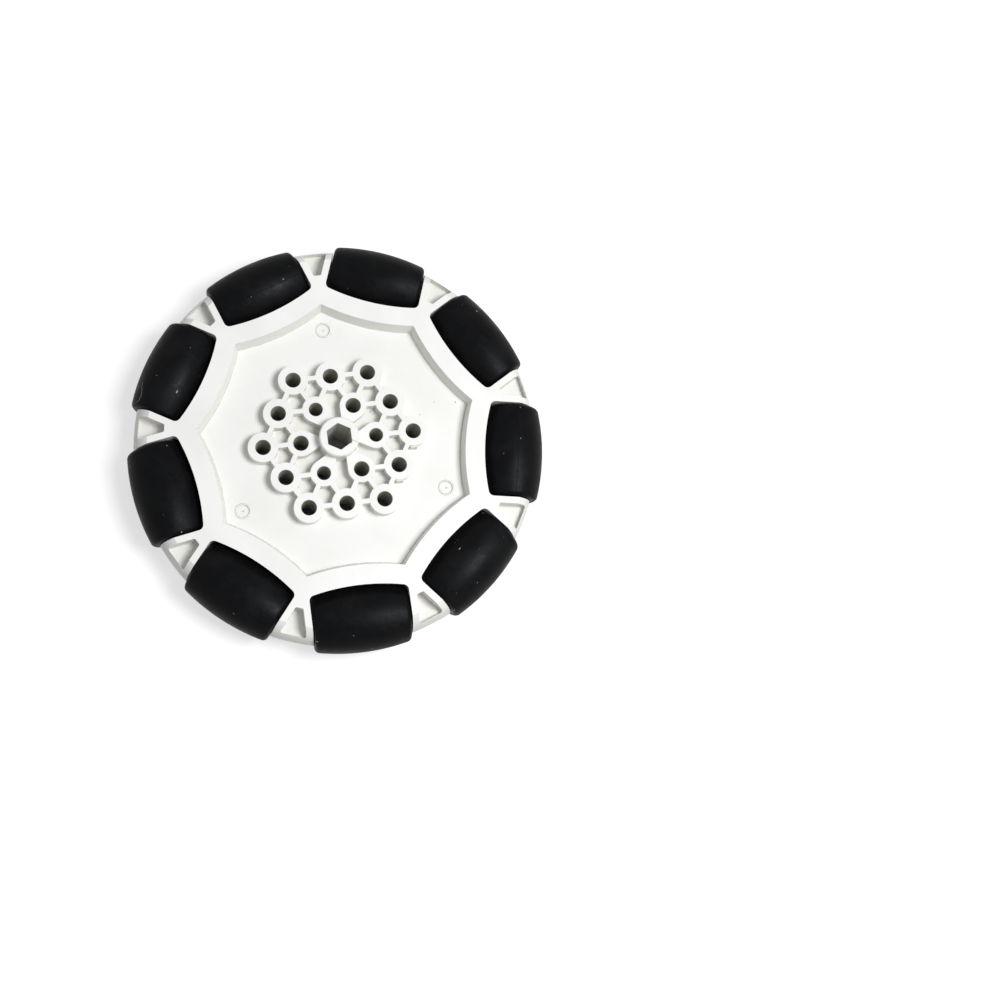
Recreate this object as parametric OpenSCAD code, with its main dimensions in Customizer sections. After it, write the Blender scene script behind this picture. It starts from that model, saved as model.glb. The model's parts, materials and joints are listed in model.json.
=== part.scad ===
// Omni wheel with nine barrel rollers round a moulded two-piece body.
// The wheel's axle runs along Z, the parting plane of the two body halves is
// z = 0 and the origin is the wheel's centre. Each roller turns freely on a
// steel pin that lies along the rim and is clamped between the two halves.
// Lengths are in millimetres and angles in degrees.

/* [Wheel] */
// Diameter over the crowns of the rollers
wheel_d = 89; // [88:0.1:91]
// How far the rollers stand out past the rim
roller_proud = 1.4; // [1.2:0.1:2]
// Width of the rim's crown, from its widest point in to the flat face
crown_w = 3.1; // [2.8:0.1:3.4]
// Radius of curvature of the rim's crown
crown_r = 6.5; // [6:0.1:10]
// Thickness of the body across its two faces
body_t = 11; // [10.6:0.1:11.8]

/* [Rollers] */
// Diameter of a roller at its middle
roller_d = 13.8; // [13.2:0.1:14]
// Width of a spoke where the pins run, between two windows
spoke_w = 6.2; // [5.8:0.1:7]
// Rounding of the tyre's ends
tyre_edge_r = 1.1; // [0.5:0.1:2]
// Outer diameter of the hard core inside the tyre
core_d = 5; // [4:0.1:7]
// How far the core stands out of each end of the tyre
core_proud = 0.12; // [0.08:0.01:0.16]
// Diameter of the steel pin that a roller turns on
pin_d = 2; // [1.5:0.1:2.4]
// Space between the ends of neighbouring pins
pin_space = 1.4; // [1.2:0.1:2]
// Chamfer on the pin's ends
pin_chamfer = 0.25; // [0.1:0.05:0.4]

/* [Clearances] */
// Running clearance between a pin and its core, on the radius
pin_gap = 0.05; // [0.03:0.01:0.15]
// Clearance between a pin and its seat in the body, on the radius
seat_gap = 0.02; // [0.01:0.01:0.05]
// Gap between a tyre and the inner wall of its window, at the parting plane
window_gap = 0.4; // [0.35:0.05:0.6]
// Gap between a tyre's end and the side of its window, at the parting plane
end_gap = 0.25; // [0.2:0.01:0.5]

/* [Roller windows] */
// Rounding of a window's inner corners
window_corner_r = 1.2; // [0.5:0.1:2]
// How far a window's inner wall leans out over its tyre at the face
window_lean = 0.85; // [0.5:0.05:0.9]
// How far a window's side walls lean in at the face
side_lean = 0.05; // [0.02:0.01:0.1]

/* [Face recess] */
// Narrowest width of the ring between the recess and the windows
ring_w = 4.15; // [3.8:0.05:4.8]
// Radius of curvature of a recess side
recess_curve_r = 45; // [40:0.5:60]
// Depth of the recess in each face
recess_depth = 3.2; // [2.5:0.1:3.5]
// How far the foot of the recess wall stands in from its top
recess_draft = 0.65; // [0.2:0.05:1]

/* [Spoke pockets] */
// Length of a pocket along its spoke
pocket_len = 5.55; // [4.5:0.05:5.8]
// Distance from a pocket's outer end to the rim
pocket_rim_w = 1.05; // [0.9:0.05:1.6]
// Wall left between a pocket and the roller windows beside it
pocket_wall = 1.35; // [1.2:0.05:1.7]
// Rounding of a pocket's corners
pocket_corner_r = 0.35; // [0.2:0.05:0.5]
// Thickness of a pocket's floor over the pins below it
pocket_floor_t = 0.8; // [0.6:0.1:1.4]

/* [Hub] */
// How far the hub ring stands above the hole lattice
hub_proud = 2.5; // [1:0.1:4]
// Outer diameter of the hub ring
hub_d = 8.5; // [8:0.1:9.5]
// Edge chamfer of the hub ring
hub_chamfer = 0.25; // [0.1:0.05:0.5]
// Size of the hexagonal axle bore across its flats
hex_across_flats = 5.06; // [5:0.01:5.4]
// Width of the timing mark cut in the hub's end face
mark_w = 0.9; // [0.4:0.1:1.2]
// Depth of the timing mark
mark_depth = 0.35; // [0.1:0.05:0.8]

/* [Hole lattice] */
// How far the lattice's top lies below the flat face
lattice_drop = 0.5; // [0.1:0.1:1]
// Distance between neighbouring holes
hole_pitch = 8; // [7.8:0.1:8.2]
// Diameter of the screw holes
hole_d = 3.3; // [3:0.1:3.6]
// Diameter of every second hole of the inner ring
small_hole_d = 3; // [2.5:0.1:3.2]
// Diameter of the bosses round the outer holes
boss_d = 6.4; // [5.6:0.1:6.8]
// Width of the slots between the bosses of the inner ring
slot_w = 2.3; // [1.8:0.1:2.6]
// Thickness of the webs that join the bosses
web_t = 1; // [0.6:0.1:1.6]

/* [Moulding marks] */
// Diameter of the round ejector marks in the recess floor
ejector_d = 2.8; // [2:0.1:3.5]
// Distance from a corner of the recess to the ejector mark near it
ejector_inset = 5; // [3:0.1:6]
// Depth of the ejector marks, and of the dot in each
ejector_depth = 0.15; // [0.05:0.05:0.3]
// Diameter of the dot at the centre of each ejector mark
ejector_dot_d = 0.5; // [0.3:0.1:0.8]

/* [Hidden] */
$fn = 96;

roller_count = 9;
ejector_count = 3;
roller_step = 360 / roller_count;
// One roller's middle lies on the +Y axis, and the spokes lie half a step on.
first_roller = 10;
first_spoke = first_roller + roller_step / 2;
// Holes of the lattice sit on a triangular grid, six to each ring.
grid_step = 60;
hex_sides = 6;
// How far a cutting solid stands out past the face that it cuts.
over = 0.5;
// Steps along the arcs of outlines: long sides and small corners.
side_steps = 16;
corner_steps = 5;

half_step = roller_step / 2;
half_t = body_t / 2;
lattice_top = half_t - lattice_drop;
hub_top = lattice_top + hub_proud;
wheel_r = wheel_d / 2;
rim_r = wheel_r - roller_proud;
face_r = rim_r - crown_w;
// The rim's crown is an arc from the face's edge to the parting plane. Its
// centre lies off the middle of that chord.
crown_chord = [rim_r - face_r, -half_t];
crown_off = sqrt(pow(crown_r, 2) - pow(norm(crown_chord) / 2, 2)) / norm(crown_chord);
crown_c = [(rim_r + face_r) / 2 + crown_off * crown_chord.y,
    half_t / 2 - crown_off * crown_chord.x];

roller_r = roller_d / 2;
axis_r = wheel_r - roller_r;
// The windows leave the spokes between them, and the tyres fill the windows.
window_half = (axis_r * sin(half_step) - spoke_w / 2) / cos(half_step);
tyre_half = window_half - end_gap;
core_half = tyre_half + core_proud;
core_r = core_d / 2;
// A tyre's outline follows the wheel's circle, so that the rollers rise in turn
// to the same diameter.
tyre_curve_r = wheel_r;
window_in_r = wheel_r - roller_d - window_gap;
// A window's walls all lean towards one centre line, out past the rim.
window_shrink = side_lean / window_half;
window_centre_r = window_in_r + window_lean / window_shrink;
pin_r = pin_d / 2;
// Neighbouring pins come closest at the inner corners of their ends.
pin_half = (axis_r - pin_r) * tan(half_step) - pin_space / 2 / cos(half_step);

floor_z = half_t - recess_depth;
// Centre of a recess side's arc, and where two neighbouring arcs meet.
recess_side_r = window_in_r + window_lean - ring_w;
recess_curve_x = recess_side_r + recess_curve_r;
recess_corner_r = recess_curve_x * cos(half_step)
    - sqrt(pow(recess_curve_r, 2) - pow(recess_curve_x * sin(half_step), 2));
// Half the angle that a side's arc spans.
recess_arc = asin(recess_corner_r * sin(half_step) / recess_curve_r);
ejector_r = recess_corner_r - ejector_inset;
pocket_out_r = rim_r - pocket_rim_w;
pocket_in_r = pocket_out_r - pocket_len;
pocket_floor_z = pin_r + seat_gap + pocket_floor_t;
// The lattice is rooted half way into the disc under the recess.
lattice_root_z = floor_z / 2;
hex_corner_r = hex_across_flats / 2 / cos(180 / hex_sides);
hub_r = hub_d / 2;
boss_r = boss_d / 2;
// The inner bosses fill the grid up to the slots between them.
inner_boss_r = (hole_pitch - slot_w) / 2;

plastic_white = "#f1f2ec";
rubber_black = "#17181a";
core_grey = "#3a3c3f";
pin_steel = "#b9bcc0";

// Flat bar of width w whose centre line runs from a to b.
module bar(a, b, w) {
    d = b - a;
    translate(a) rotate(atan2(d.y, d.x))
        translate([0, -w / 2]) square([norm(d), w]);
}

// Points round c at radius r, from one angle to another in equal steps.
function arc_points(c, r, from, to, steps) = [
    for (j = [0:steps]) let (a = from + (to - from) * j / steps)
        c + r * [cos(a), sin(a)]
];

// The list p without its first and last points.
function inside_of(p) = [for (i = [1:len(p) - 2]) p[i]];

// The point p turned about the origin.
function turned(p, a) = [p.x * cos(a) - p.y * sin(a), p.x * sin(a) + p.y * cos(a)];

// The direction in which a path runs from a to b.
function heading(a, b) = atan2(b.y - a.y, b.x - a.x);

// The convex outline p, listed anticlockwise, grown by r with round corners.
function grown(p, r) = [
    for (i = [0:len(p) - 1]) let (
        before = heading(p[(i + len(p) - 1) % len(p)], p[i]) - 90,
        after = heading(p[i], p[(i + 1) % len(p)]) - 90,
        turn = (after - before + 360) % 360
    ) each arc_points(p[i], r, before, before + turn, corner_steps)
];

// Half outline of a barrel that lies along Y, for x >= 0. Its side is an arc of
// radius curve_r that crosses the X axis at mid_r, its ends are at end_y on both
// sides of X, and arcs of radius edge_r join them.
module barrel_outline(mid_r, end_y, curve_r, edge_r) {
    curve_x = mid_r - curve_r;
    edge_y = end_y - edge_r;
    edge_x = curve_x + sqrt(pow(curve_r - edge_r, 2) - pow(edge_y, 2));
    // Where the side arc runs over into the corner arcs.
    touch_y = edge_y * curve_r / (curve_r - edge_r);
    intersection() {
        translate([curve_x, 0]) circle(curve_r, $fn = 360);
        translate([0, -touch_y]) square([mid_r + over, 2 * touch_y]);
    }
    for (side = [-1, 1]) translate([edge_x, side * edge_y]) circle(edge_r);
    translate([0, -end_y]) square([edge_x, 2 * end_y]);
}

// Places children at roller n's centre, with Z along that roller's axis.
module at_roller(n) {
    rotate(first_roller + n * roller_step)
        translate([axis_r, 0, 0]) rotate([-90, 0, 0]) children();
}

// Positions of the lattice holes, by ring.
function ring_at(radius, start, k) =
    radius * [cos(start + k * grid_step), sin(start + k * grid_step)];
function inner_hole(k) = ring_at(hole_pitch, 0, k);
function corner_hole(k) = ring_at(2 * hole_pitch, 0, k);
function mid_hole(k) = ring_at(2 * hole_pitch * cos(grid_step / 2), grid_step / 2, k);

// One half of the disc, with its crowned rim.
module disc_half() {
    rotate_extrude($fn = 180) intersection() {
        square([rim_r + over, half_t]);
        union() {
            square([crown_c.x, half_t]);
            translate(crown_c) circle(crown_r, $fn = 180);
        }
    }
}

// The nine-sided recess. Each side is an arc that bulges towards the hub, and
// the wall leans in towards its foot.
module recess() {
    side = arc_points([recess_curve_x, 0], recess_curve_r,
        180 + recess_arc, 180 - recess_arc, side_steps);
    foot = (recess_side_r - recess_draft) / recess_side_r;
    head = (recess_side_r + recess_draft * over / recess_depth) / recess_side_r;
    translate([0, 0, floor_z])
        linear_extrude(recess_depth + over, scale = head / foot) polygon([
            for (n = [0:roller_count - 1]) for (j = [0:side_steps - 1])
                foot * turned(side[j], first_roller + n * roller_step)
        ]);
}

// Outline at the parting plane of the opening for one roller, with the roller
// along Y. Its inner edge follows the tyre, and it is open to the rim. X runs
// from the centre line that the opening's walls lean towards.
module window_outline() {
    curve_r = tyre_curve_r + window_gap;
    curve_x = window_in_r + curve_r - window_centre_r;
    corner_y = window_half - window_corner_r;
    turn = asin(corner_y / (curve_r - window_corner_r));
    corner_x = curve_x - (curve_r - window_corner_r) * cos(turn);
    open_x = rim_r + 4 * over - window_centre_r;
    polygon(concat(
        [[open_x, -window_half]],
        arc_points([corner_x, -corner_y], window_corner_r, 270, 180 + turn, corner_steps),
        inside_of(arc_points([curve_x, 0], curve_r, 180 + turn, 180 - turn, side_steps)),
        arc_points([corner_x, corner_y], window_corner_r, 180 - turn, 90, corner_steps),
        [[open_x, window_half]]
    ));
}

// Opening for one roller. It narrows from the parting plane to the face.
module window() {
    foot = 1 + window_shrink * over / half_t;
    head = 1 - window_shrink * (half_t + over) / half_t;
    translate([window_centre_r, 0, -over])
        linear_extrude(half_t + 2 * over, scale = head / foot) scale(foot)
            window_outline();
}

// Trapezoid pocket in a spoke. Its sides run parallel to the windows beside it.
module pocket_outline() {
    x_in = pocket_in_r + pocket_corner_r;
    x_out = pocket_out_r - pocket_corner_r;
    inset = (window_half + pocket_wall + pocket_corner_r) / cos(half_step);
    y_in = x_in * tan(half_step) - inset;
    y_out = x_out * tan(half_step) - inset;
    polygon(grown([[x_in, -y_in], [x_out, -y_out], [x_out, y_out], [x_in, y_in]],
        pocket_corner_r));
}

// Plan of the raised lattice: bosses, the webs between them and the tongues
// that join the inner bosses to the hub.
module lattice_outline() {
    tangent_x = hole_pitch - inner_boss_r * sin(grid_step / 2);
    tangent_y = inner_boss_r * cos(grid_step / 2);
    for (k = [0:hex_sides - 1]) {
        translate(inner_hole(k)) circle(inner_boss_r);
        translate(corner_hole(k)) circle(boss_r);
        translate(mid_hole(k)) circle(boss_r);
        rotate(k * grid_step) polygon([
            [slot_w / 2 / sin(grid_step / 2), 0],
            [tangent_x, -tangent_y], [tangent_x, tangent_y]
        ]);
        bar(inner_hole(k), corner_hole(k), web_t);
        bar(inner_hole(k), mid_hole(k), web_t);
        bar(inner_hole(k + 1), mid_hole(k), web_t);
        bar(corner_hole(k), mid_hole(k), web_t);
        bar(mid_hole(k), corner_hole(k + 1), web_t);
    }
}

// Hub ring with a small chamfer at its end face.
module hub_ring() {
    cylinder(h = hub_top - hub_chamfer, r = hub_r);
    translate([0, 0, hub_top - hub_chamfer])
        cylinder(h = hub_chamfer, r1 = hub_r, r2 = hub_r - hub_chamfer);
}

// Screw holes: the outer ring is all one size. The inner ring alternates, and
// its first wide hole is number first_wide.
module lattice_holes(first_wide) {
    for (k = [0:hex_sides - 1]) {
        inner_d = k % 2 == first_wide ? hole_d : small_hole_d;
        for (hole = [[inner_hole(k), inner_d], [corner_hole(k), hole_d], [mid_hole(k), hole_d]])
            translate([hole[0].x, hole[0].y, -over])
                cylinder(h = half_t + 2 * over, d = hole[1], $fn = 64);
    }
}

// Hexagonal axle bore, with flats square to the inner ring of holes.
module axle_bore() {
    translate([0, 0, -over]) rotate(180 / hex_sides)
        cylinder(h = hub_top + 2 * over, r = hex_corner_r, $fn = hex_sides);
}

// Groove in the hub's end face from one corner of the bore to the ring's edge.
module timing_mark() {
    translate([-mark_w / 2, -hub_r - over, hub_top - mark_depth])
        cube([mark_w, hub_r + over - hex_corner_r * cos(180 / hex_sides), mark_depth + over]);
}

// Round ejector marks, each with a deeper dot at its centre.
module ejector_marks() {
    for (n = [0:ejector_count - 1])
        rotate(first_spoke + n * 360 / ejector_count)
            translate([ejector_r, 0, floor_z]) {
                translate([0, 0, -ejector_depth])
                    cylinder(h = ejector_depth + over, d = ejector_d, $fn = 48);
                translate([0, 0, -2 * ejector_depth])
                    cylinder(h = ejector_depth + over, d = ejector_dot_d, $fn = 24);
            }
}

// One body half, facing +Z.
module body_half(first_wide) {
    difference() {
        union() {
            difference() {
                disc_half();
                recess();
            }
            translate([0, 0, lattice_root_z])
                linear_extrude(lattice_top - lattice_root_z) lattice_outline();
            hub_ring();
        }
        lattice_holes(first_wide);
        axle_bore();
        timing_mark();
        ejector_marks();
        for (n = [0:roller_count - 1]) {
            rotate(first_roller + n * roller_step) window();
            rotate(first_spoke + n * roller_step)
                translate([0, 0, pocket_floor_z]) linear_extrude(half_t - pocket_floor_z + over)
                    pocket_outline();
            at_roller(n) cylinder(
                h = 2 * (pin_half + seat_gap), r = pin_r + seat_gap,
                center = true, $fn = 48
            );
        }
    }
}

module body_front() color(plastic_white) body_half(0);

// The back half is the front one turned over about the Y axis, with its inner
// holes in step with those in front.
module body_back() color(plastic_white) rotate([0, 180, 0]) body_half(1);

// Steel pin with chamfered ends.
module axle_pin(n) color(pin_steel) at_roller(n) {
    straight = pin_half - pin_chamfer;
    cylinder(h = 2 * straight, r = pin_r, center = true, $fn = 48);
    for (end = [0, 1]) mirror([0, 0, end]) translate([0, 0, straight])
        cylinder(h = pin_chamfer, r1 = pin_r, r2 = pin_r - pin_chamfer, $fn = 48);
}

// Hard sleeve that turns on the pin and carries the tyre.
module roller_core(n) color(core_grey) at_roller(n) difference() {
    cylinder(h = 2 * core_half, r = core_r, center = true, $fn = 64);
    cylinder(h = 2 * (core_half + over), r = pin_r + pin_gap, center = true, $fn = 48);
}

// Rubber tyre: a barrel with rounded ends, moulded round the core.
module roller_tyre(n) color(rubber_black) at_roller(n)
    rotate_extrude() difference() {
        barrel_outline(roller_r, tyre_half, tyre_curve_r, tyre_edge_r);
        translate([0, -tyre_half - over]) square([core_r, 2 * (tyre_half + over)]);
    }

body_front();
body_back();
for (n = [1:roller_count]) {
    axle_pin(n - 1);
    roller_core(n - 1);
    roller_tyre(n - 1);
}
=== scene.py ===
import json
import math
import random

import bmesh
import bpy
from mathutils import Matrix, Vector
from mathutils.bvhtree import BVHTree


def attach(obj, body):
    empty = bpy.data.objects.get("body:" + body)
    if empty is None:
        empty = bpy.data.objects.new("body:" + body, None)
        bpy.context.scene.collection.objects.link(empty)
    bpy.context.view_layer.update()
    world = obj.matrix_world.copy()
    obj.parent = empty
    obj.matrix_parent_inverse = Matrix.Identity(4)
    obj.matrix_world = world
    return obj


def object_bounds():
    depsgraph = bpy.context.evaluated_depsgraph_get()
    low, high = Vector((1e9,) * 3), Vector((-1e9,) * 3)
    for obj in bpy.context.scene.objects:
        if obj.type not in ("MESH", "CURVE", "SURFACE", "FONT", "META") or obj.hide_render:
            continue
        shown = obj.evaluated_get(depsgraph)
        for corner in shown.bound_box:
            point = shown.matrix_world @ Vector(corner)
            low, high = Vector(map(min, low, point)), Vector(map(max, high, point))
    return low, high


# The looks of an omni wheel that lies flat: a white moulded body with nine black
# rubber rollers. Lengths are in metres, written as millimetres times MM where they
# are small. Angles are in degrees, unless a comment says radians.

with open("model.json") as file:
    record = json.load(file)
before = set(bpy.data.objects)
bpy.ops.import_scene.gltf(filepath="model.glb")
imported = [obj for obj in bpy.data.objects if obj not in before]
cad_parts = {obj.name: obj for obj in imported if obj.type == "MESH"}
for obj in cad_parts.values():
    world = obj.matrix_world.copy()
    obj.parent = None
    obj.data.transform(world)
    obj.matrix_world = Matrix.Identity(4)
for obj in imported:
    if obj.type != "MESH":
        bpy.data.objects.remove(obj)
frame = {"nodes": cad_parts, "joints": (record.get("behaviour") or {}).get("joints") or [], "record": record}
cad_box = [list(v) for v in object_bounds()]

MM = 0.001
scene = bpy.context.scene
nodes = frame["nodes"]
mounts = {m["name"]: m for m in frame["record"]["mounts"]}

# ------------------------------------------------------------ sizes, most of them from the frame
FLOOR_Z = cad_box[0][2]
HUB_TOP = cad_box[1][2]
WHEEL_R = cad_box[1][1]
TOP = Vector((0, 0, 1))
EAST = Vector((1, 0, 0))

# For each roller's body, the middle of its axis and the axis' direction.
HINGE = {j["child"]: (Vector(j["pos_m"]), Vector(j["axis"]).normalized()) for j in frame["joints"]}
ROLLERS = range(1, len(HINGE) + 1)
ROLLER_STEP = 360 / len(HINGE)
FIRST_ROLLER = 10  # where roller 1 lies, from +X
TYRE_END = 9.9 * MM  # from a tyre's middle to the rounded edge of its end

# The hub's holes stand on a grid of triangles, and the inner six are its first ring.
HOLE_PITCH = mounts["inner_holes"]["dims"]["pcd_mm"] / 2 * MM
ROW_PITCH = HOLE_PITCH * math.sqrt(3) / 2
HOLE_R = mounts["corner_holes"]["dims"]["hole_r_mm"] * MM
HOLES_END = mounts["corner_holes"]["dims"]["pcd_mm"] / 2 * MM + 2 * MM  # past the outermost holes
LATTICE_TOP = mounts["corner_holes"]["pos_m"][2]
LATTICE_R = 13.4 * MM  # the lattice's own floors lie within this radius
BORE_R = 2.95 * MM  # just past the corners of the hexagonal bore
BOSS_R = 3.2 * MM
LOW_Z = 2.4 * MM  # the floors of the recess and of the pockets lie below this height
POCKETS_START = 36 * MM  # radius where the spokes' pockets begin
EJECTOR_R = 25 * MM  # distance of the round ejector marks from the centre
EJECTOR_ANGLES = (30, 150, 270)


# ------------------------------------------------------------ node helpers
class Tree:
    """The node tree of a material or a world, with short ways to add to it."""

    def __init__(self, owner, output):
        owner.use_nodes = True
        self.owner = owner
        self.tree = owner.node_tree
        self.tree.nodes.clear()
        self.out = self.node(output)

    def node(self, kind, **values):
        n = self.tree.nodes.new(kind)
        for k, v in values.items():
            setattr(n, k, v)
        return n

    def put(self, socket, value):
        """Links a socket or sets a plain value."""
        if isinstance(value, bpy.types.NodeSocket):
            self.tree.links.new(value, socket)
        else:
            socket.default_value = value

    def coord(self, kind="Object"):
        return self.node("ShaderNodeTexCoord").outputs[kind]

    def scaled(self, across, along=None, spin=0.0):
        """Object coordinates in millimetres, times these factors: along is for the Y
        axis after a turn by spin radians, and across is for the other two."""
        m = self.node("ShaderNodeMapping")
        self.put(m.inputs["Vector"], self.coord())
        m.inputs["Scale"].default_value = (across / MM, (along or across) / MM, across / MM)
        m.inputs["Rotation"].default_value = (0, 0, spin)
        return m.outputs["Vector"]

    def noise(self, vector, detail=2.0, rough=0.5, distort=0.0):
        n = self.node("ShaderNodeTexNoise")
        self.put(n.inputs["Vector"], vector)
        n.inputs["Scale"].default_value = 1.0
        n.inputs["Detail"].default_value = detail
        n.inputs["Roughness"].default_value = rough
        n.inputs["Distortion"].default_value = distort
        return n.outputs["Fac"]

    def cells(self, vector):
        n = self.node("ShaderNodeTexVoronoi")
        self.put(n.inputs["Vector"], vector)
        n.inputs["Scale"].default_value = 1.0
        return n.outputs

    def remap(self, value, a, b, c=0.0, d=1.0, smooth=True):
        """c where the value is a or beyond, d where it is b or beyond."""
        n = self.node("ShaderNodeMapRange")
        n.interpolation_type = "SMOOTHSTEP" if smooth else "LINEAR"
        for s, v in (("Value", value), ("From Min", a), ("From Max", b), ("To Min", c), ("To Max", d)):
            self.put(n.inputs[s], v)
        return n.outputs["Result"]

    def math(self, op, a, b=0.0):
        n = self.node("ShaderNodeMath", operation=op)
        self.put(n.inputs[0], a)
        self.put(n.inputs[1], b)
        return n.outputs[0]

    def product(self, first, *others):
        for other in others:
            first = self.math("MULTIPLY", first, other)
        return first

    def length(self, x, y):
        n = self.node("ShaderNodeCombineXYZ")
        self.put(n.inputs["X"], x)
        self.put(n.inputs["Y"], y)
        v = self.node("ShaderNodeVectorMath", operation="LENGTH")
        self.put(v.inputs[0], n.outputs[0])
        return v.outputs["Value"]

    def split(self, vector):
        n = self.node("ShaderNodeSeparateXYZ")
        self.put(n.inputs[0], vector)
        return n.outputs["X"], n.outputs["Y"], n.outputs["Z"]

    def mix(self, factor, a, b):
        # Inputs 6 and 7 and output 2 are the node's colour sockets.
        n = self.node("ShaderNodeMix", data_type="RGBA")
        for i, v in ((0, factor), (6, a), (7, b)):
            self.put(n.inputs[i], v)
        return n.outputs[2]

    def tint(self, colour, mask, strength, tone):
        return self.mix(self.math("MULTIPLY", mask, strength), colour, tone)

    def bump(self, height, strength, distance, under=None):
        """A normal with this relief, on top of the one under it."""
        n = self.node("ShaderNodeBump")
        self.put(n.inputs["Height"], height)
        n.inputs["Strength"].default_value = strength
        n.inputs["Distance"].default_value = distance
        if under is not None:
            self.put(n.inputs["Normal"], under)
        return n.outputs["Normal"]

    def seen(self):
        """1 for what the camera, a reflection or glass shows, 0 for what only lights."""
        path = self.node("ShaderNodeLightPath")
        seen = path.outputs["Is Camera Ray"]
        for ray in ("Is Glossy Ray", "Is Transmission Ray"):
            seen = self.math("MAXIMUM", seen, path.outputs[ray])
        return seen

    def shader(self, kind, *ordered, **named):
        """A shader node. Its inputs are given in order, or by name with _ for a space."""
        n = self.node(kind)
        for i, v in enumerate(ordered):
            self.put(n.inputs[i], v)
        for k, v in named.items():
            self.put(n.inputs[k.replace("_", " ")], v)
        return n.outputs[0]

    def finish(self, shader):
        self.put(self.out.inputs["Surface"], shader)
        return self.owner

    def surface(self, **values):
        return self.finish(self.shader("ShaderNodeBsdfPrincipled", **values))


def new_material(name):
    return Tree(bpy.data.materials.new(name), "ShaderNodeOutputMaterial")


def rgb(r, g, b):
    return (r, g, b, 1.0)


# ------------------------------------------------------------ colours
WHITE = rgb(1.0, 1.0, 1.0)
TABLE_TONES = (rgb(0.44, 0.44, 0.44), rgb(0.46, 0.46, 0.46))

PLASTIC_TONES = (rgb(0.845, 0.850, 0.832), rgb(0.805, 0.808, 0.784))
PLASTIC_GRAIN = rgb(0.78, 0.775, 0.735)
# Painted shade: walls, low floors, the spokes' pockets and the holes are tinted yellower and darker.
WALL_SHADE = rgb(0.755, 0.750, 0.700)
LOW_FLOOR_SHADE = rgb(0.760, 0.758, 0.735)
POCKET_SHADE = rgb(0.735, 0.730, 0.695)
HOLE_SHADE = rgb(0.47, 0.455, 0.395)
INCLUSION = rgb(0.16, 0.13, 0.10)
JOINT_DIRT = rgb(0.30, 0.29, 0.26)

RUBBER_TONES = (rgb(0.0026, 0.0027, 0.0030), rgb(0.0050, 0.0051, 0.0056))
RUBBER_STREAK = rgb(0.009, 0.009, 0.010)
RUBBER_SHEEN = rgb(0.92, 0.95, 1.0)
CORE_TONES = (rgb(0.030, 0.031, 0.033), rgb(0.050, 0.051, 0.053))
STEEL_TONES = (rgb(0.63, 0.63, 0.64), rgb(0.50, 0.50, 0.51))

DUST_TONES = (rgb(0.20, 0.20, 0.19), rgb(0.42, 0.42, 0.40))
SPECK_TONES = (rgb(0.06, 0.05, 0.04), rgb(0.13, 0.11, 0.08))
# Painted shade: grey for the line at the foot of the recess wall and the dots in the ejector pits.
SHADE_GREY_TONES = (rgb(0.52, 0.51, 0.46), rgb(0.70, 0.69, 0.64))
# Painted shade: the darker grey-yellow of the pads on the bosses, standing for a wall in shade.
PAD_SHADE_TONES = (rgb(0.70, 0.69, 0.62), rgb(0.77, 0.76, 0.70))


# ------------------------------------------------------------ materials
def roller_turn(n):
    """How far roller n is turned round the wheel from +X, in radians."""
    return math.radians(FIRST_ROLLER + ROLLER_STEP * (n - 1))


def below(t, height, top):
    """1 below a flat top, 0 on it, so that the top itself keeps its colour."""
    return t.remap(height, top - 0.15 * MM, top - 0.05 * MM, 1.0, 0.0)


def hole_shade_mask(t, x, y, height, radius):
    """Where shade is painted: the walls of the holes and, more faintly, of the bore."""
    # Distance to the nearest point of the triangular grid: it is two rectangular ones.
    across = t.math("PINGPONG", x, HOLE_PITCH / 2)
    along = t.math("PINGPONG", y, ROW_PITCH)
    first = t.length(across, along)
    second = t.length(t.math("SUBTRACT", HOLE_PITCH / 2, across), t.math("SUBTRACT", ROW_PITCH, along))
    nearest = t.math("MINIMUM", first, second)
    holes = t.product(t.remap(nearest, HOLE_R + 0.01 * MM, HOLE_R + 0.06 * MM, 1.0, 0.0),
                      below(t, height, LATTICE_TOP),
                      t.remap(radius, HOLES_END - 0.2 * MM, HOLES_END, 1.0, 0.0))
    bore = t.product(t.remap(radius, BORE_R, BORE_R + 0.05 * MM, 1.0, 0.0), below(t, height, HUB_TOP))
    return t.math("MAXIMUM", holes, t.math("MULTIPLY", bore, 0.6))


def side_wall_shade_mask(t):
    """How far the surface faces sideways, and not up or down. The walls' painted shade follows it."""
    facing = t.split(t.coord("Normal"))[2]
    return t.remap(t.math("ABSOLUTE", facing), 0.35, 0.85, 1.0, 0.0)


def paint_cavity_shade(t, colour):
    """Painted shade: yellower tones on walls and low floors, and deepest in the holes."""
    x, y, z = t.split(t.coord())
    height = t.math("ABSOLUTE", z)
    radius = t.length(x, y)
    low = t.remap(height, LOW_Z, LOW_Z + MM, 1.0, 0.0)
    lattice = t.remap(radius, LATTICE_R - 0.2 * MM, LATTICE_R + 0.2 * MM, 1.0, 0.0)
    pockets = t.remap(radius, POCKETS_START - MM, POCKETS_START)
    small_floors = t.product(low, t.math("MAXIMUM", lattice, pockets))
    colour = t.tint(colour, side_wall_shade_mask(t), 0.8, WALL_SHADE)
    colour = t.tint(colour, low, 0.4, LOW_FLOOR_SHADE)
    colour = t.tint(colour, small_floors, 0.85, POCKET_SHADE)
    return t.tint(colour, hole_shade_mask(t, x, y, height, radius), 0.85, HOLE_SHADE)


def inclusions(t):
    """A few dark specks in the plastic: the middles of about one cell in sixteen."""
    cell = t.cells(t.scaled(0.32))
    pick = t.node("ShaderNodeSeparateColor")
    t.put(pick.inputs[0], cell["Color"])
    near = t.remap(cell["Distance"], 0.012, 0.032, 1.0, 0.0)
    few = t.remap(pick.outputs[0], 0.93, 0.95)
    return t.product(near, few)


def joint_line(t):
    """The thin joint between the two halves."""
    height = t.math("ABSOLUTE", t.split(t.coord())[2])
    return t.remap(height, 0.02 * MM, 0.09 * MM, 1.0, 0.0)


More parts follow.
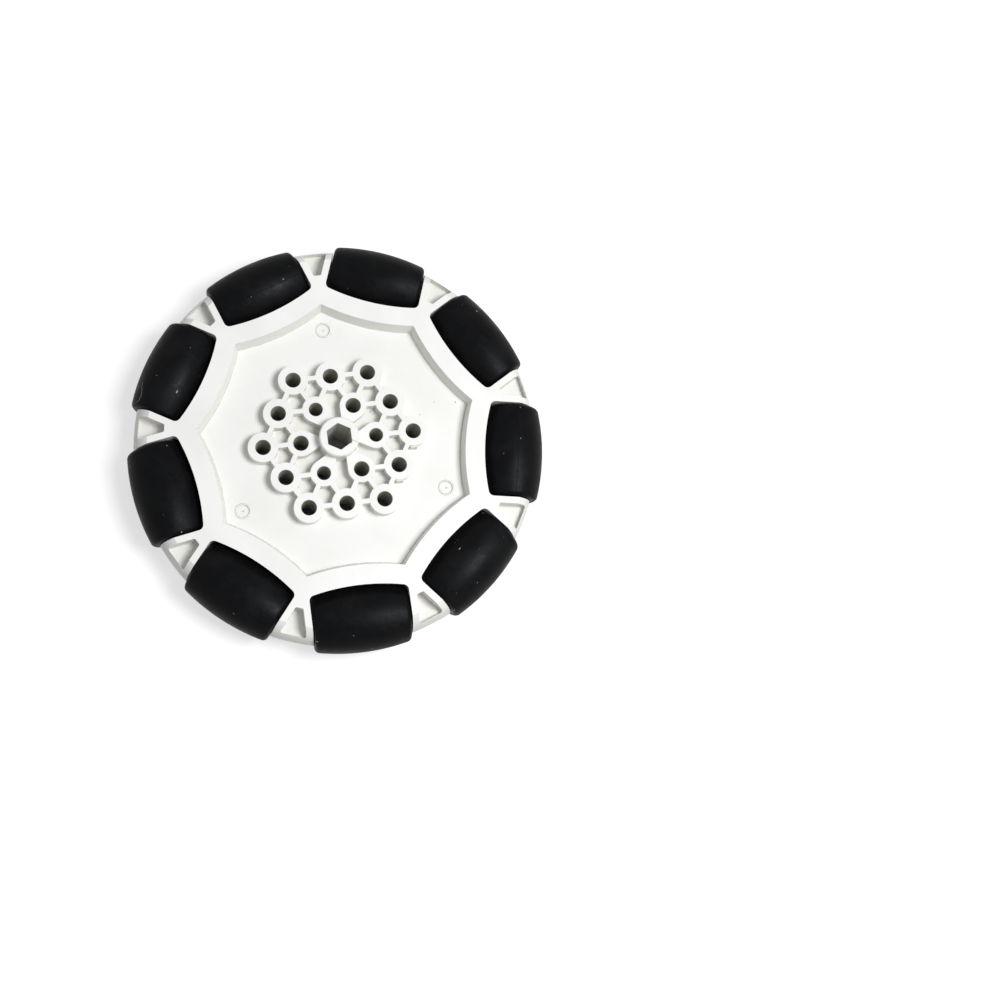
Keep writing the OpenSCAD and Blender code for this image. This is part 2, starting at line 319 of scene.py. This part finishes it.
def body_plastic():
    """White satin moulding: faint mottling, fine mould grain, a few dark specks, painted
    shade in the cavities and a dirt line where the two halves meet."""
    t = new_material("body_plastic")
    broad = t.noise(t.scaled(0.09), detail=3.0, rough=0.55, distort=0.4)
    fine = t.noise(t.scaled(0.7), detail=3.0)
    grain = t.noise(t.scaled(5.5), detail=2.0, rough=0.6)
    colour = t.mix(t.remap(broad, 0.38, 0.68), *PLASTIC_TONES)
    colour = t.mix(t.remap(fine, 0.56, 0.78, 0.0, 0.22), colour, PLASTIC_GRAIN)
    # Painted shade on the walls, the low floors and in the holes.
    colour = paint_cavity_shade(t, colour)
    colour = t.tint(colour, inclusions(t), 0.55, INCLUSION)
    colour = t.tint(colour, joint_line(t), 0.6, JOINT_DIRT)
    waves = t.bump(broad, 0.55, 0.10 * MM)
    return t.surface(Base_Color=colour, Roughness=t.remap(fine, 0.3, 0.7, 0.31, 0.43),
                     Normal=t.bump(grain, 0.16, 0.02 * MM, waves), IOR=1.46, Subsurface_Weight=0.04,
                     Subsurface_Radius=(1.0, 0.95, 0.8), Subsurface_Scale=0.6 * MM)


def rubber_relief(t, patch, streak):
    """Soft dents, streaks, crossing creases and a fine grain, one on the other."""
    dents = t.bump(patch, 0.35, 0.05 * MM)
    lines = t.bump(streak, 0.35, 0.012 * MM, dents)
    webs = t.noise(t.scaled(0.5), detail=4.0, rough=0.7, distort=1.5)
    creases = t.remap(t.math("ABSOLUTE", t.math("SUBTRACT", webs, 0.5)), 0.0, 0.03)
    folds = t.bump(creases, 0.30, 0.02 * MM, lines)
    grain = t.noise(t.scaled(5.0), detail=3.0, rough=0.7)
    return t.bump(grain, 0.30, 0.010 * MM, folds)


def roller_rubber(n):
    """Black satin rubber: fine grain, faint streaks along the roller, paler worn
    patches, and a sheen that spreads round the roller more than along it."""
    t = new_material(f"roller_rubber_{n}")
    turn = roller_turn(n)
    streak = t.noise(t.scaled(1.6, 0.16, -turn), detail=4.0, rough=0.6, distort=0.3)
    patch = t.noise(t.scaled(0.22), detail=3.0, rough=0.6)
    colour = t.mix(t.remap(patch, 0.42, 0.72), *RUBBER_TONES)
    colour = t.mix(t.remap(streak, 0.55, 0.80, 0.0, 0.5), colour, RUBBER_STREAK)
    worn = t.math("ADD", t.math("MULTIPLY", patch, 0.6), t.math("MULTIPLY", streak, 0.4))
    # The tangent is the roller's own axis, and a quarter turn lays the sheen across it.
    tangent = t.node("ShaderNodeCombineXYZ")
    tangent.inputs["X"].default_value = -math.sin(turn)
    tangent.inputs["Y"].default_value = math.cos(turn)
    return t.surface(Base_Color=colour, Roughness=t.remap(worn, 0.35, 0.65, 0.30, 0.44),
                     Normal=rubber_relief(t, patch, streak), IOR=1.45,
                     Specular_IOR_Level=0.07, Specular_Tint=RUBBER_SHEEN,
                     Anisotropic=0.62, Anisotropic_Rotation=0.25, Tangent=tangent.outputs[0])


def core_plastic():
    """Dark hard plastic of the sleeves inside the tyres."""
    t = new_material("core_plastic")
    mottle = t.noise(t.scaled(0.6), detail=3.0)
    grain = t.noise(t.scaled(5.0), detail=2.0)
    return t.surface(Base_Color=t.mix(t.remap(mottle, 0.35, 0.7), *CORE_TONES),
                     Roughness=t.remap(mottle, 0.3, 0.7, 0.38, 0.50),
                     Normal=t.bump(grain, 0.2, 0.015 * MM), IOR=1.49)


def pin_steel(n):
    """Bright steel with drawing lines along pin n."""
    t = new_material(f"pin_steel_{n}")
    drawn = t.noise(t.scaled(6.0, 0.12, -roller_turn(n)), detail=3.0, rough=0.6)
    return t.surface(Base_Color=t.mix(t.remap(drawn, 0.35, 0.7), *STEEL_TONES), Metallic=1.0,
                     Roughness=t.remap(drawn, 0.3, 0.7, 0.22, 0.36), Normal=t.bump(drawn, 0.25, 0.01 * MM))


def small_matter(name, tones):
    """Dust, dark specks and painted shade: matt, mottled and slightly lumpy."""
    t = new_material(name)
    mottle = t.noise(t.scaled(4.0), detail=2.0)
    return t.surface(Base_Color=t.mix(t.remap(mottle, 0.3, 0.7), *tones), Roughness=0.8,
                     Normal=t.bump(mottle, 0.3, 0.02 * MM))


def dress(obj, mat):
    obj.data.materials.clear()
    obj.data.materials.append(mat)


MAT_BODY = body_plastic()
MAT_CORE = core_plastic()
MAT_TYRE = {n: roller_rubber(n) for n in ROLLERS}
MAT_DUST = small_matter("dust", DUST_TONES)
MAT_SPECK = small_matter("dark_speck", SPECK_TONES)
MAT_SHADE_GREY = small_matter("shade_grey", SHADE_GREY_TONES)
MAT_PAD_SHADE = small_matter("pad_shade", PAD_SHADE_TONES)

for name in ("body_front", "body_back"):
    dress(nodes[name], MAT_BODY)
for n in ROLLERS:
    dress(nodes[f"roller_tyre_{n}"], MAT_TYRE[n])
    dress(nodes[f"roller_core_{n}"], MAT_CORE)
    dress(nodes[f"axle_pin_{n}"], pin_steel(n))

# ------------------------------------------------------------ camera
# It looks down from about 15 degrees off the axle, and the shift keeps the wheel left
# of the picture's middle.
EYE = Vector((-68.4, -8.8, 283.8)) * MM
AIM = Vector((4.8, -7.6, 5.0)) * MM
ROLL = 67.14  # from the wheel's +Y to up in the picture, seen along the view
LENS = 49.49
SENSOR = 36.0
SHIFT = (0.1157, -0.0629)


def view_axes():
    """Right, up and forward, as the camera stands."""
    ahead = (AIM - EYE).normalized()
    north = Vector((0, 1, 0))
    north = (north - ahead * north.dot(ahead)).normalized()
    up = Matrix.Rotation(math.radians(ROLL), 3, ahead) @ north
    return ahead.cross(up), up, ahead


def add_camera():
    cam = bpy.data.cameras.new("camera")
    cam.sensor_width = SENSOR
    cam.lens = LENS
    cam.shift_x, cam.shift_y = SHIFT
    cam.clip_start = 0.01
    cam.clip_end = 20.0
    obj = bpy.data.objects.new("camera", cam)
    pose = Matrix((RIGHT, UP, -AHEAD)).transposed().to_4x4()
    pose.translation = EYE
    obj.matrix_world = pose
    scene.collection.objects.link(obj)
    scene.camera = obj


RIGHT, UP, AHEAD = view_axes()
add_camera()

# ------------------------------------------------------------ light and surroundings
KEY_FROM = RIGHT * 0.50 + UP * 0.12 - AHEAD * 0.86
KEY_DISTANCE = 0.45
KEY_SIDE = 0.156
KEY_POWER = 1.69
KEY_COLOUR = (0.99, 0.992, 0.995)
SKY_COLOUR = rgb(0.985, 0.99, 1.0)
SKY_STRENGTH = 0.36
FLOOR_HALF = 3.0
GLOW_EDGE = (0.85 * WHEEL_R, 0.93 * WHEEL_R)  # the floor's glow begins between these radii
GLOW_AT = (0.15, 1.2)  # two distances from the wheel's centre
GLOW = (0.62, 0.84)  # the glow's strength at those distances


def key_light():
    """The one lamp: a square softbox that looks at the wheel's centre."""
    data = bpy.data.lights.new("key", "AREA")
    data.shape = "SQUARE"
    data.size = KEY_SIDE
    data.energy = KEY_POWER
    data.color = KEY_COLOUR
    obj = bpy.data.objects.new("key", data)
    direction = KEY_FROM.normalized()
    obj.location = direction * KEY_DISTANCE
    obj.rotation_euler = direction.to_track_quat("Z", "Y").to_euler()
    scene.collection.objects.link(obj)


def studio_world():
    """Soft light from all round, which is seen as white."""
    t = Tree(bpy.data.worlds.new("studio"), "ShaderNodeOutputWorld")
    light = t.shader("ShaderNodeBackground", Color=SKY_COLOUR, Strength=SKY_STRENGTH)
    sight = t.shader("ShaderNodeBackground", Color=WHITE, Strength=1.0)
    return t.finish(t.shader("ShaderNodeMixShader", t.seen(), light, sight))


def floor_material():
    """Matt white table. It is seen nearly white, and its shadow stays. The glow that
    whitens it stops under the wheel, so that the holes look down into shade."""
    t = new_material("table")
    matt = t.shader("ShaderNodeBsdfDiffuse", Color=t.mix(t.noise(t.scaled(0.02)), *TABLE_TONES))
    x, y, _ = t.split(t.coord())
    radius = t.length(x, y)
    clear = t.remap(radius, *GLOW_EDGE)
    far = t.remap(radius, *GLOW_AT, *GLOW, smooth=False)
    glow = t.shader("ShaderNodeEmission", Color=WHITE, Strength=t.product(t.seen(), clear, far))
    return t.finish(t.shader("ShaderNodeAddShader", matt, glow))


def add_floor():
    mesh = bpy.data.meshes.new("floor")
    corners = [(x * FLOOR_HALF, y * FLOOR_HALF, 0) for x, y in ((-1, -1), (1, -1), (1, 1), (-1, 1))]
    mesh.from_pydata(corners, [], [(0, 1, 2, 3)])
    floor = bpy.data.objects.new("floor", mesh)
    floor.location.z = FLOOR_Z
    scene.collection.objects.link(floor)
    dress(floor, floor_material())


key_light()
scene.world = studio_world()
scene.view_settings.view_transform = "Standard"
add_floor()

# ------------------------------------------------------------ seats for the small pieces
RAY_START = 20 * MM  # how far out rays start, from a roller's axis or the middle plane
SURFACES = {}  # search trees, by CAD node


def hit(node, start, direction):
    """Where a ray meets a CAD node, and the normal there, turned against the ray."""
    if node not in SURFACES:
        mesh = nodes[node].data
        corners = [v.co.copy() for v in mesh.vertices]
        SURFACES[node] = BVHTree.FromPolygons(corners, [tuple(p.vertices) for p in mesh.polygons])
    place, normal, _, _ = SURFACES[node].ray_cast(start, direction)
    return place, (-normal if normal.dot(direction) > 0 else normal)


def on_tyre(n, along, around):
    """Place and normal on tyre n: a distance along its axis, and an angle from the
    top towards the rim."""
    centre, axis = HINGE[f"roller_{n}"]
    out = Vector((centre.x, centre.y, 0)).normalized()
    turn = math.radians(around)
    away = out * math.sin(turn) + TOP * math.cos(turn)
    return hit(f"roller_tyre_{n}", centre + axis * along + away * RAY_START, -away)


def on_front(x, y):
    """Place and normal on the front half at (x, y)."""
    return hit("body_front", Vector((x, y, RAY_START)), -TOP)


RECESS_Z = on_front(22 * MM, 2 * MM)[0].z  # a clear place between the lattice and the wall
FOOT_FROM, FOOT_TO = 20 * MM, 31 * MM  # the recess wall stands between these radii
MARK_CLEAR = 2 * MM  # more than the radius of an ejector mark


def ejector_places(side):
    """Centres of the ejector marks on the recess floor, in front (1) or at the back (-1)."""
    turns = [math.radians(angle) for angle in EJECTOR_ANGLES]
    return [Vector((EJECTOR_R * math.cos(a), EJECTOR_R * math.sin(a), side * RECESS_Z)) for a in turns]


def recess_foot(side):
    """The outline of the recess floor, read from the mesh: its outermost vertex in each
    degree, apart from the vertices of the ejector marks."""
    half = nodes["body_front" if side > 0 else "body_back"]
    marks = ejector_places(side)
    far = {}
    for v in half.data.vertices:
        r = math.hypot(v.co.x, v.co.y)
        on_floor = abs(v.co.z - side * RECESS_Z) < 0.01 * MM and FOOT_FROM < r < FOOT_TO
        if on_floor and not any((v.co - m).length < MARK_CLEAR for m in marks):
            key = round(math.degrees(math.atan2(v.co.y, v.co.x)))
            if r > far.get(key, (0, None))[0]:
                far[key] = (r, v.co.copy())
    return [far[k][1] for k in sorted(far)]


# ------------------------------------------------------------ meshes of the small pieces
def sweep(rings, closed=False):
    """Skin over rings of equal length: a closed loop, or capped at both ends."""
    n = len(rings[0])
    verts = [v for ring in rings for v in ring]
    faces = []
    for i in range(len(rings) if closed else len(rings) - 1):
        j = (i + 1) % len(rings)
        for k in range(n):
            m = (k + 1) % n
            faces.append((i * n + k, i * n + m, j * n + m, j * n + k))
    if not closed:
        faces.append(tuple(range(n))[::-1])
        faces.append(tuple(len(verts) - n + k for k in range(n)))
    return verts, faces


def joined(parts):
    """One list of vertices and faces from several."""
    verts, faces = [], []
    for more_verts, more_faces in parts:
        faces += [tuple(i + len(verts) for i in face) for face in more_faces]
        verts += more_verts
    return verts, faces


def add_piece(name, parts, mat, body, smooth=False):
    """One object of several swept parts, which moves with a CAD body."""
    verts, faces = joined(parts)
    mesh = bpy.data.meshes.new(name)
    mesh.from_pydata([tuple(v) for v in verts], [], faces)
    bm = bmesh.new()
    bm.from_mesh(mesh)
    bmesh.ops.recalc_face_normals(bm, faces=bm.faces)
    for face in bm.faces:
        face.smooth = smooth
    bm.to_mesh(mesh)
    bm.free()
    obj = bpy.data.objects.new(name, mesh)
    scene.collection.objects.link(obj)
    dress(obj, mat)
    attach(obj, body)


def fleck(seat, along, length, width, height, rng, sides=9):
    """A small uneven crumb, pressed into the surface. It also gives the shape of the painted-shade dots in
    the ejector marks.
    """
    place, normal = seat
    u = (along - normal * along.dot(normal)).normalized()
    w = normal.cross(u)
    outline = [rng.uniform(0.75, 1.2) for _ in range(sides)]
    rings = []
    # Each ring has a share of the full size, and a share of the height.
    for share, lift in ((0.9, -0.5), (1.0, 0.2), (0.7, 0.75), (0.25, 1.0)):
        ring = []
        for k, uneven in enumerate(outline):
            turn = math.tau * k / sides
            reach = share * uneven / 2
            ring.append(place + u * math.cos(turn) * length * reach + w * math.sin(turn) * width * reach
                        + normal * height * lift)
        rings.append(ring)
    return sweep(rings)


def thread(points, radius, sides=6):
    """A thin round thread through the points."""
    turns = [math.tau * k / sides for k in range(sides)]
    rings = []
    for i, p in enumerate(points):
        run = (points[min(i + 1, len(points) - 1)] - points[max(i - 1, 0)]).normalized()
        side = run.cross(TOP).normalized()
        rise = side.cross(run)
        rings.append([p + (side * math.cos(a) + rise * math.sin(a)) * radius for a in turns])
    return sweep(rings)


def seam(n, around, reach, steps=44):
    """Low ridge along tyre n, where the halves of its mould met."""
    half_width = 0.12 * MM
    crest_share = 0.35
    axis = HINGE[f"roller_{n}"][1]
    rings = []
    for i in range(steps + 1):
        place, normal = on_tyre(n, reach * (2 * i / steps - 1), around)
        side = normal.cross(axis).normalized() * half_width
        foot = normal * -0.02 * MM
        crest = normal * 0.055 * MM
        rings.append([place - side + foot, place - side * crest_share + crest,
                      place + side * crest_share + crest, place + side + foot])
    return sweep(rings)


def flash_tail(n, end, around, height, lean, rng, steps=5):
    """Thin torn tongue of rubber at the edge of a tyre's end, standing away from the
    axis. It narrows to its tip and leans round the tyre by an angle."""
    root = 0.05 * MM  # how deep it starts in the rubber
    outward = 0.06 * MM  # how far its tip leans out past the tyre's end
    centre, axis = HINGE[f"roller_{n}"]
    half_thick = axis * 0.035 * MM
    rings = []
    for i in range(steps + 1):
        part = i / steps
        place = on_tyre(n, end * TYRE_END, around + lean * part * part)[0]
        away = place - centre
        away = (away - axis * away.dot(axis)).normalized()
        half_width = (0.16 * (1 - part) ** 0.6 + 0.03) * MM
        side = away.cross(axis) * half_width
        rise = away * (height * part - root) + side * rng.uniform(-0.15, 0.15)
        rise += axis * end * outward * part
        rings.append([place + rise - side - half_thick, place + rise + side - half_thick,
                      place + rise + side + half_thick, place + rise - side + half_thick])
    return sweep(rings)


def shade_line(points, side, rng):
    """A thin uneven band of painted shade on the recess floor, along the foot of its wall."""
    half_thick = Vector((0, 0, side * 0.015 * MM))
    rings = []
    for p in points:
        inward = Vector((-p.x, -p.y, 0)).normalized()
        width = rng.uniform(0.10, 0.20) * MM
        rings.append([p - half_thick, p + half_thick,
                      p + inward * width + half_thick, p + inward * width - half_thick])
    return sweep(rings, closed=True)


def lip(centre, radius, side, rng, steps=40):
    """A low uneven ring, as round an ejector mark."""
    rings = []
    for k in range(steps):
        turn = math.tau * k / steps
        out = Vector((math.cos(turn), math.sin(turn), 0))
        half_width = 0.20 * MM * rng.uniform(0.9, 1.1)
        crest = Vector((0, 0, side * 0.11 * MM * rng.uniform(0.9, 1.1)))
        rings.append([centre + out * (radius - half_width), centre + out * radius + crest,
                      centre + out * (radius + half_width), centre + out * radius - crest])
    return sweep(rings, closed=True)


def boss_pad(x, y, heading):
    """A low flat pad on the side of the boss at (x, y), from the recess floor nearly to
    its top. It is rooted in the boss and narrows a little outwards."""
    half_width = 0.8 * MM
    turn = math.radians(heading)
    out = Vector((math.cos(turn), math.sin(turn), 0))
    across = Vector((-out.y, out.x, 0))
    foot = Vector((x, y, 0)) + out * BOSS_R
    outline = ((-1, -0.4), (1, -0.4), (0.95, 0.3), (-0.95, 0.3))
    plan = [foot + across * half_width * a + out * b * MM for a, b in outline]
    levels = (RECESS_Z - 0.05 * MM, LATTICE_TOP - 0.35 * MM)
    return sweep([[Vector((p.x, p.y, z)) for p in plan] for z in levels])


# ------------------------------------------------------------ marks, grit and painted shade on the body
LIP_R = 1.5 * MM  # just outside an ejector mark
DOT_SIZE = (0.4 * MM, 0.36 * MM, 0.05 * MM)  # length, width and height
DOT_DEPTH = 0.28 * MM  # near the floor of the dot in the ejector mark
PAD_HEADING = 206  # from the centre of a boss
GRIT = ((12.6, -13.9, 0.28), (18.3, -19.9, 0.34), (16.5, -15.6, 0.22), (8.9, -3.8, 0.3))  # x, y, size
GRIT_HEIGHT = 0.05 * MM


def add_recess_marks(side, half_name):
    """A thin line of painted shade at the foot of the recess, and the ejector marks' lips and their dots of
    painted shade.
    """
    rng = random.Random(20 + side)
    # Painted shade along the foot of the recess wall.
    add_piece(f"recess_foot_shade_{half_name}", [shade_line(recess_foot(side), side, rng)],
              MAT_SHADE_GREY, "wheel_body")
    centres = ejector_places(side)
    lips = [lip(c, LIP_R, side, rng) for c in centres]
    add_piece(f"ejector_lips_{half_name}", lips, MAT_BODY, "wheel_body", smooth=True)
    facing = TOP * side
    # Dark dots of painted shade at the floor of each ejector mark's pit.
    dots = [fleck((c - facing * DOT_DEPTH, facing), EAST, *DOT_SIZE, rng) for c in centres]
    add_piece(f"ejector_dots_{half_name}", dots, MAT_SHADE_GREY, "wheel_body")


def add_boss_pads():
    """Pads on two bosses of the lattice's outermost row on the -Y side, in a darker grey-yellow of painted
    wall shade.
    """
    pads = [boss_pad(column * HOLE_PITCH, -2 * ROW_PITCH, PAD_HEADING) for column in (1, 0)]
    add_piece("boss_pads_front", pads, MAT_PAD_SHADE, "wheel_body")


def add_grit():
    """A few dark crumbs on the front. GRIT is in millimetres."""
    rng = random.Random(31)
    grit = [fleck(on_front(x * MM, y * MM), EAST, size * MM, 0.7 * size * MM, GRIT_HEIGHT, rng)
            for x, y, size in GRIT]
    add_piece("grit_front", grit, MAT_SPECK, "wheel_body")


add_recess_marks(1, "front")
add_recess_marks(-1, "back")
add_boss_pads()
add_grit()

# ------------------------------------------------------------ seams, dust and flash on the tyres
SEAM_AT = {8: 4, 2: -13}  # where a seam shows in the picture, by tyre
SEAM_HIDDEN = (104, 118)  # the others lie in this range, out of the picture's sight
SEAM_REACH = TYRE_END - 0.5 * MM
RANDOM_SPECKS = 8
SPECK_HEIGHT = 0.06 * MM
DUST_HEIGHT = 0.04 * MM
CLEAR_SPECKS = {  # by tyre: along in mm, around, length and width in mm
    2: ((-5.3, -10, 0.35, 0.25), (2.7, -15, 0.2, 0.15)),
    3: ((4.4, -23, 0.8, 0.3), (-5.4, -11, 0.2, 0.15)),
    4: ((-8.7, -28, 0.3, 0.2), (9.7, -8, 0.35, 0.25)),
    5: ((1.8, 45, 0.2, 0.15),),
    6: ((-9.7, 42, 0.4, 0.25), (-2.3, 33, 0.2, 0.15)),
    7: ((-0.1, -29, 0.7, 0.25), (-2.8, 37, 0.2, 0.15)),
    8: ((2.1, 8, 0.3, 0.22), (-1.3, -22, 0.2, 0.15), (9.2, 9, 0.25, 0.2)),
    9: ((4.8, 36, 0.4, 0.25),),
}


def add_seams(n, rng):
    """Two mould seams, opposite each other."""
    hidden = rng.uniform(*SEAM_HIDDEN)
    first = SEAM_AT.get(n, hidden)
    seams = [seam(n, around, SEAM_REACH) for around in (first, first + 180)]
    add_piece(f"tyre_seam_{n}", seams, MAT_TYRE[n], f"roller_{n}")


def add_dust(n, rng):
    """The clear specks, and smaller ones scattered over the tyre."""
    axis = HINGE[f"roller_{n}"][1]
    specks = [fleck(on_tyre(n, along * MM, around), axis, length * MM, width * MM, SPECK_HEIGHT, rng)
              for along, around, length, width in CLEAR_SPECKS.get(n, ())]
    for _ in range(RANDOM_SPECKS):
        size = rng.uniform(0.08, 0.16) * MM
        seat = on_tyre(n, rng.uniform(-8.5, 8.5) * MM, rng.uniform(0, 360))
        specks.append(fleck(seat, axis, size, size * rng.uniform(0.6, 0.9), DUST_HEIGHT, rng))
    add_piece(f"tyre_dust_{n}", specks, MAT_DUST, f"roller_{n}")


def add_hair(n, steps=24):
    """A hair that lies along tyre n in a slack wave and turns down at its end."""
    radius = 0.022 * MM
    lift = 0.03 * MM
    start = 5.0 * MM
    run = 4.7 * MM
    strand = []
    for i in range(steps + 1):
        part = i / steps
        around = 45 + 4 * math.cos(5 * part) + 13 * part ** 12
        place, normal = on_tyre(n, start + run * part, around)
        strand.append(place + normal * lift)
    hair = [thread(strand, radius)]
    add_piece(f"hair_{n}", hair, MAT_DUST, f"roller_{n}", smooth=True)


def add_flash(rng):
    """Torn flash at one end of tyres 8 and 7, and crumbs of it on tyre 7."""
    tails = [flash_tail(8, -1, around, height * MM, lean, rng)
             for around, height, lean in ((52, 0.40, 16), (64, 0.28, -6))]
    add_piece("tyre_flash_8", tails, MAT_TYRE[8], "roller_8")
    tails = [flash_tail(7, -1, around, rng.uniform(0.15, 0.3) * MM, rng.uniform(-6, 6), rng)
             for around in (47, 50, 54, 58)]
    add_piece("tyre_flash_7", tails, MAT_TYRE[7], "roller_7")
    axis = HINGE["roller_7"][1]
    crumbs = [fleck(on_tyre(7, share * TYRE_END, around), axis, 0.3 * MM, 0.2 * MM, SPECK_HEIGHT, rng)
              for share, around in ((-1, 49), (-1, 53), (0.96, -54))]
    add_piece("flash_crumbs_7", crumbs, MAT_DUST, "roller_7")


for n in ROLLERS:
    rng = random.Random(n)
    add_seams(n, rng)
    add_dust(n, rng)
add_hair(3)
add_flash(random.Random(44))
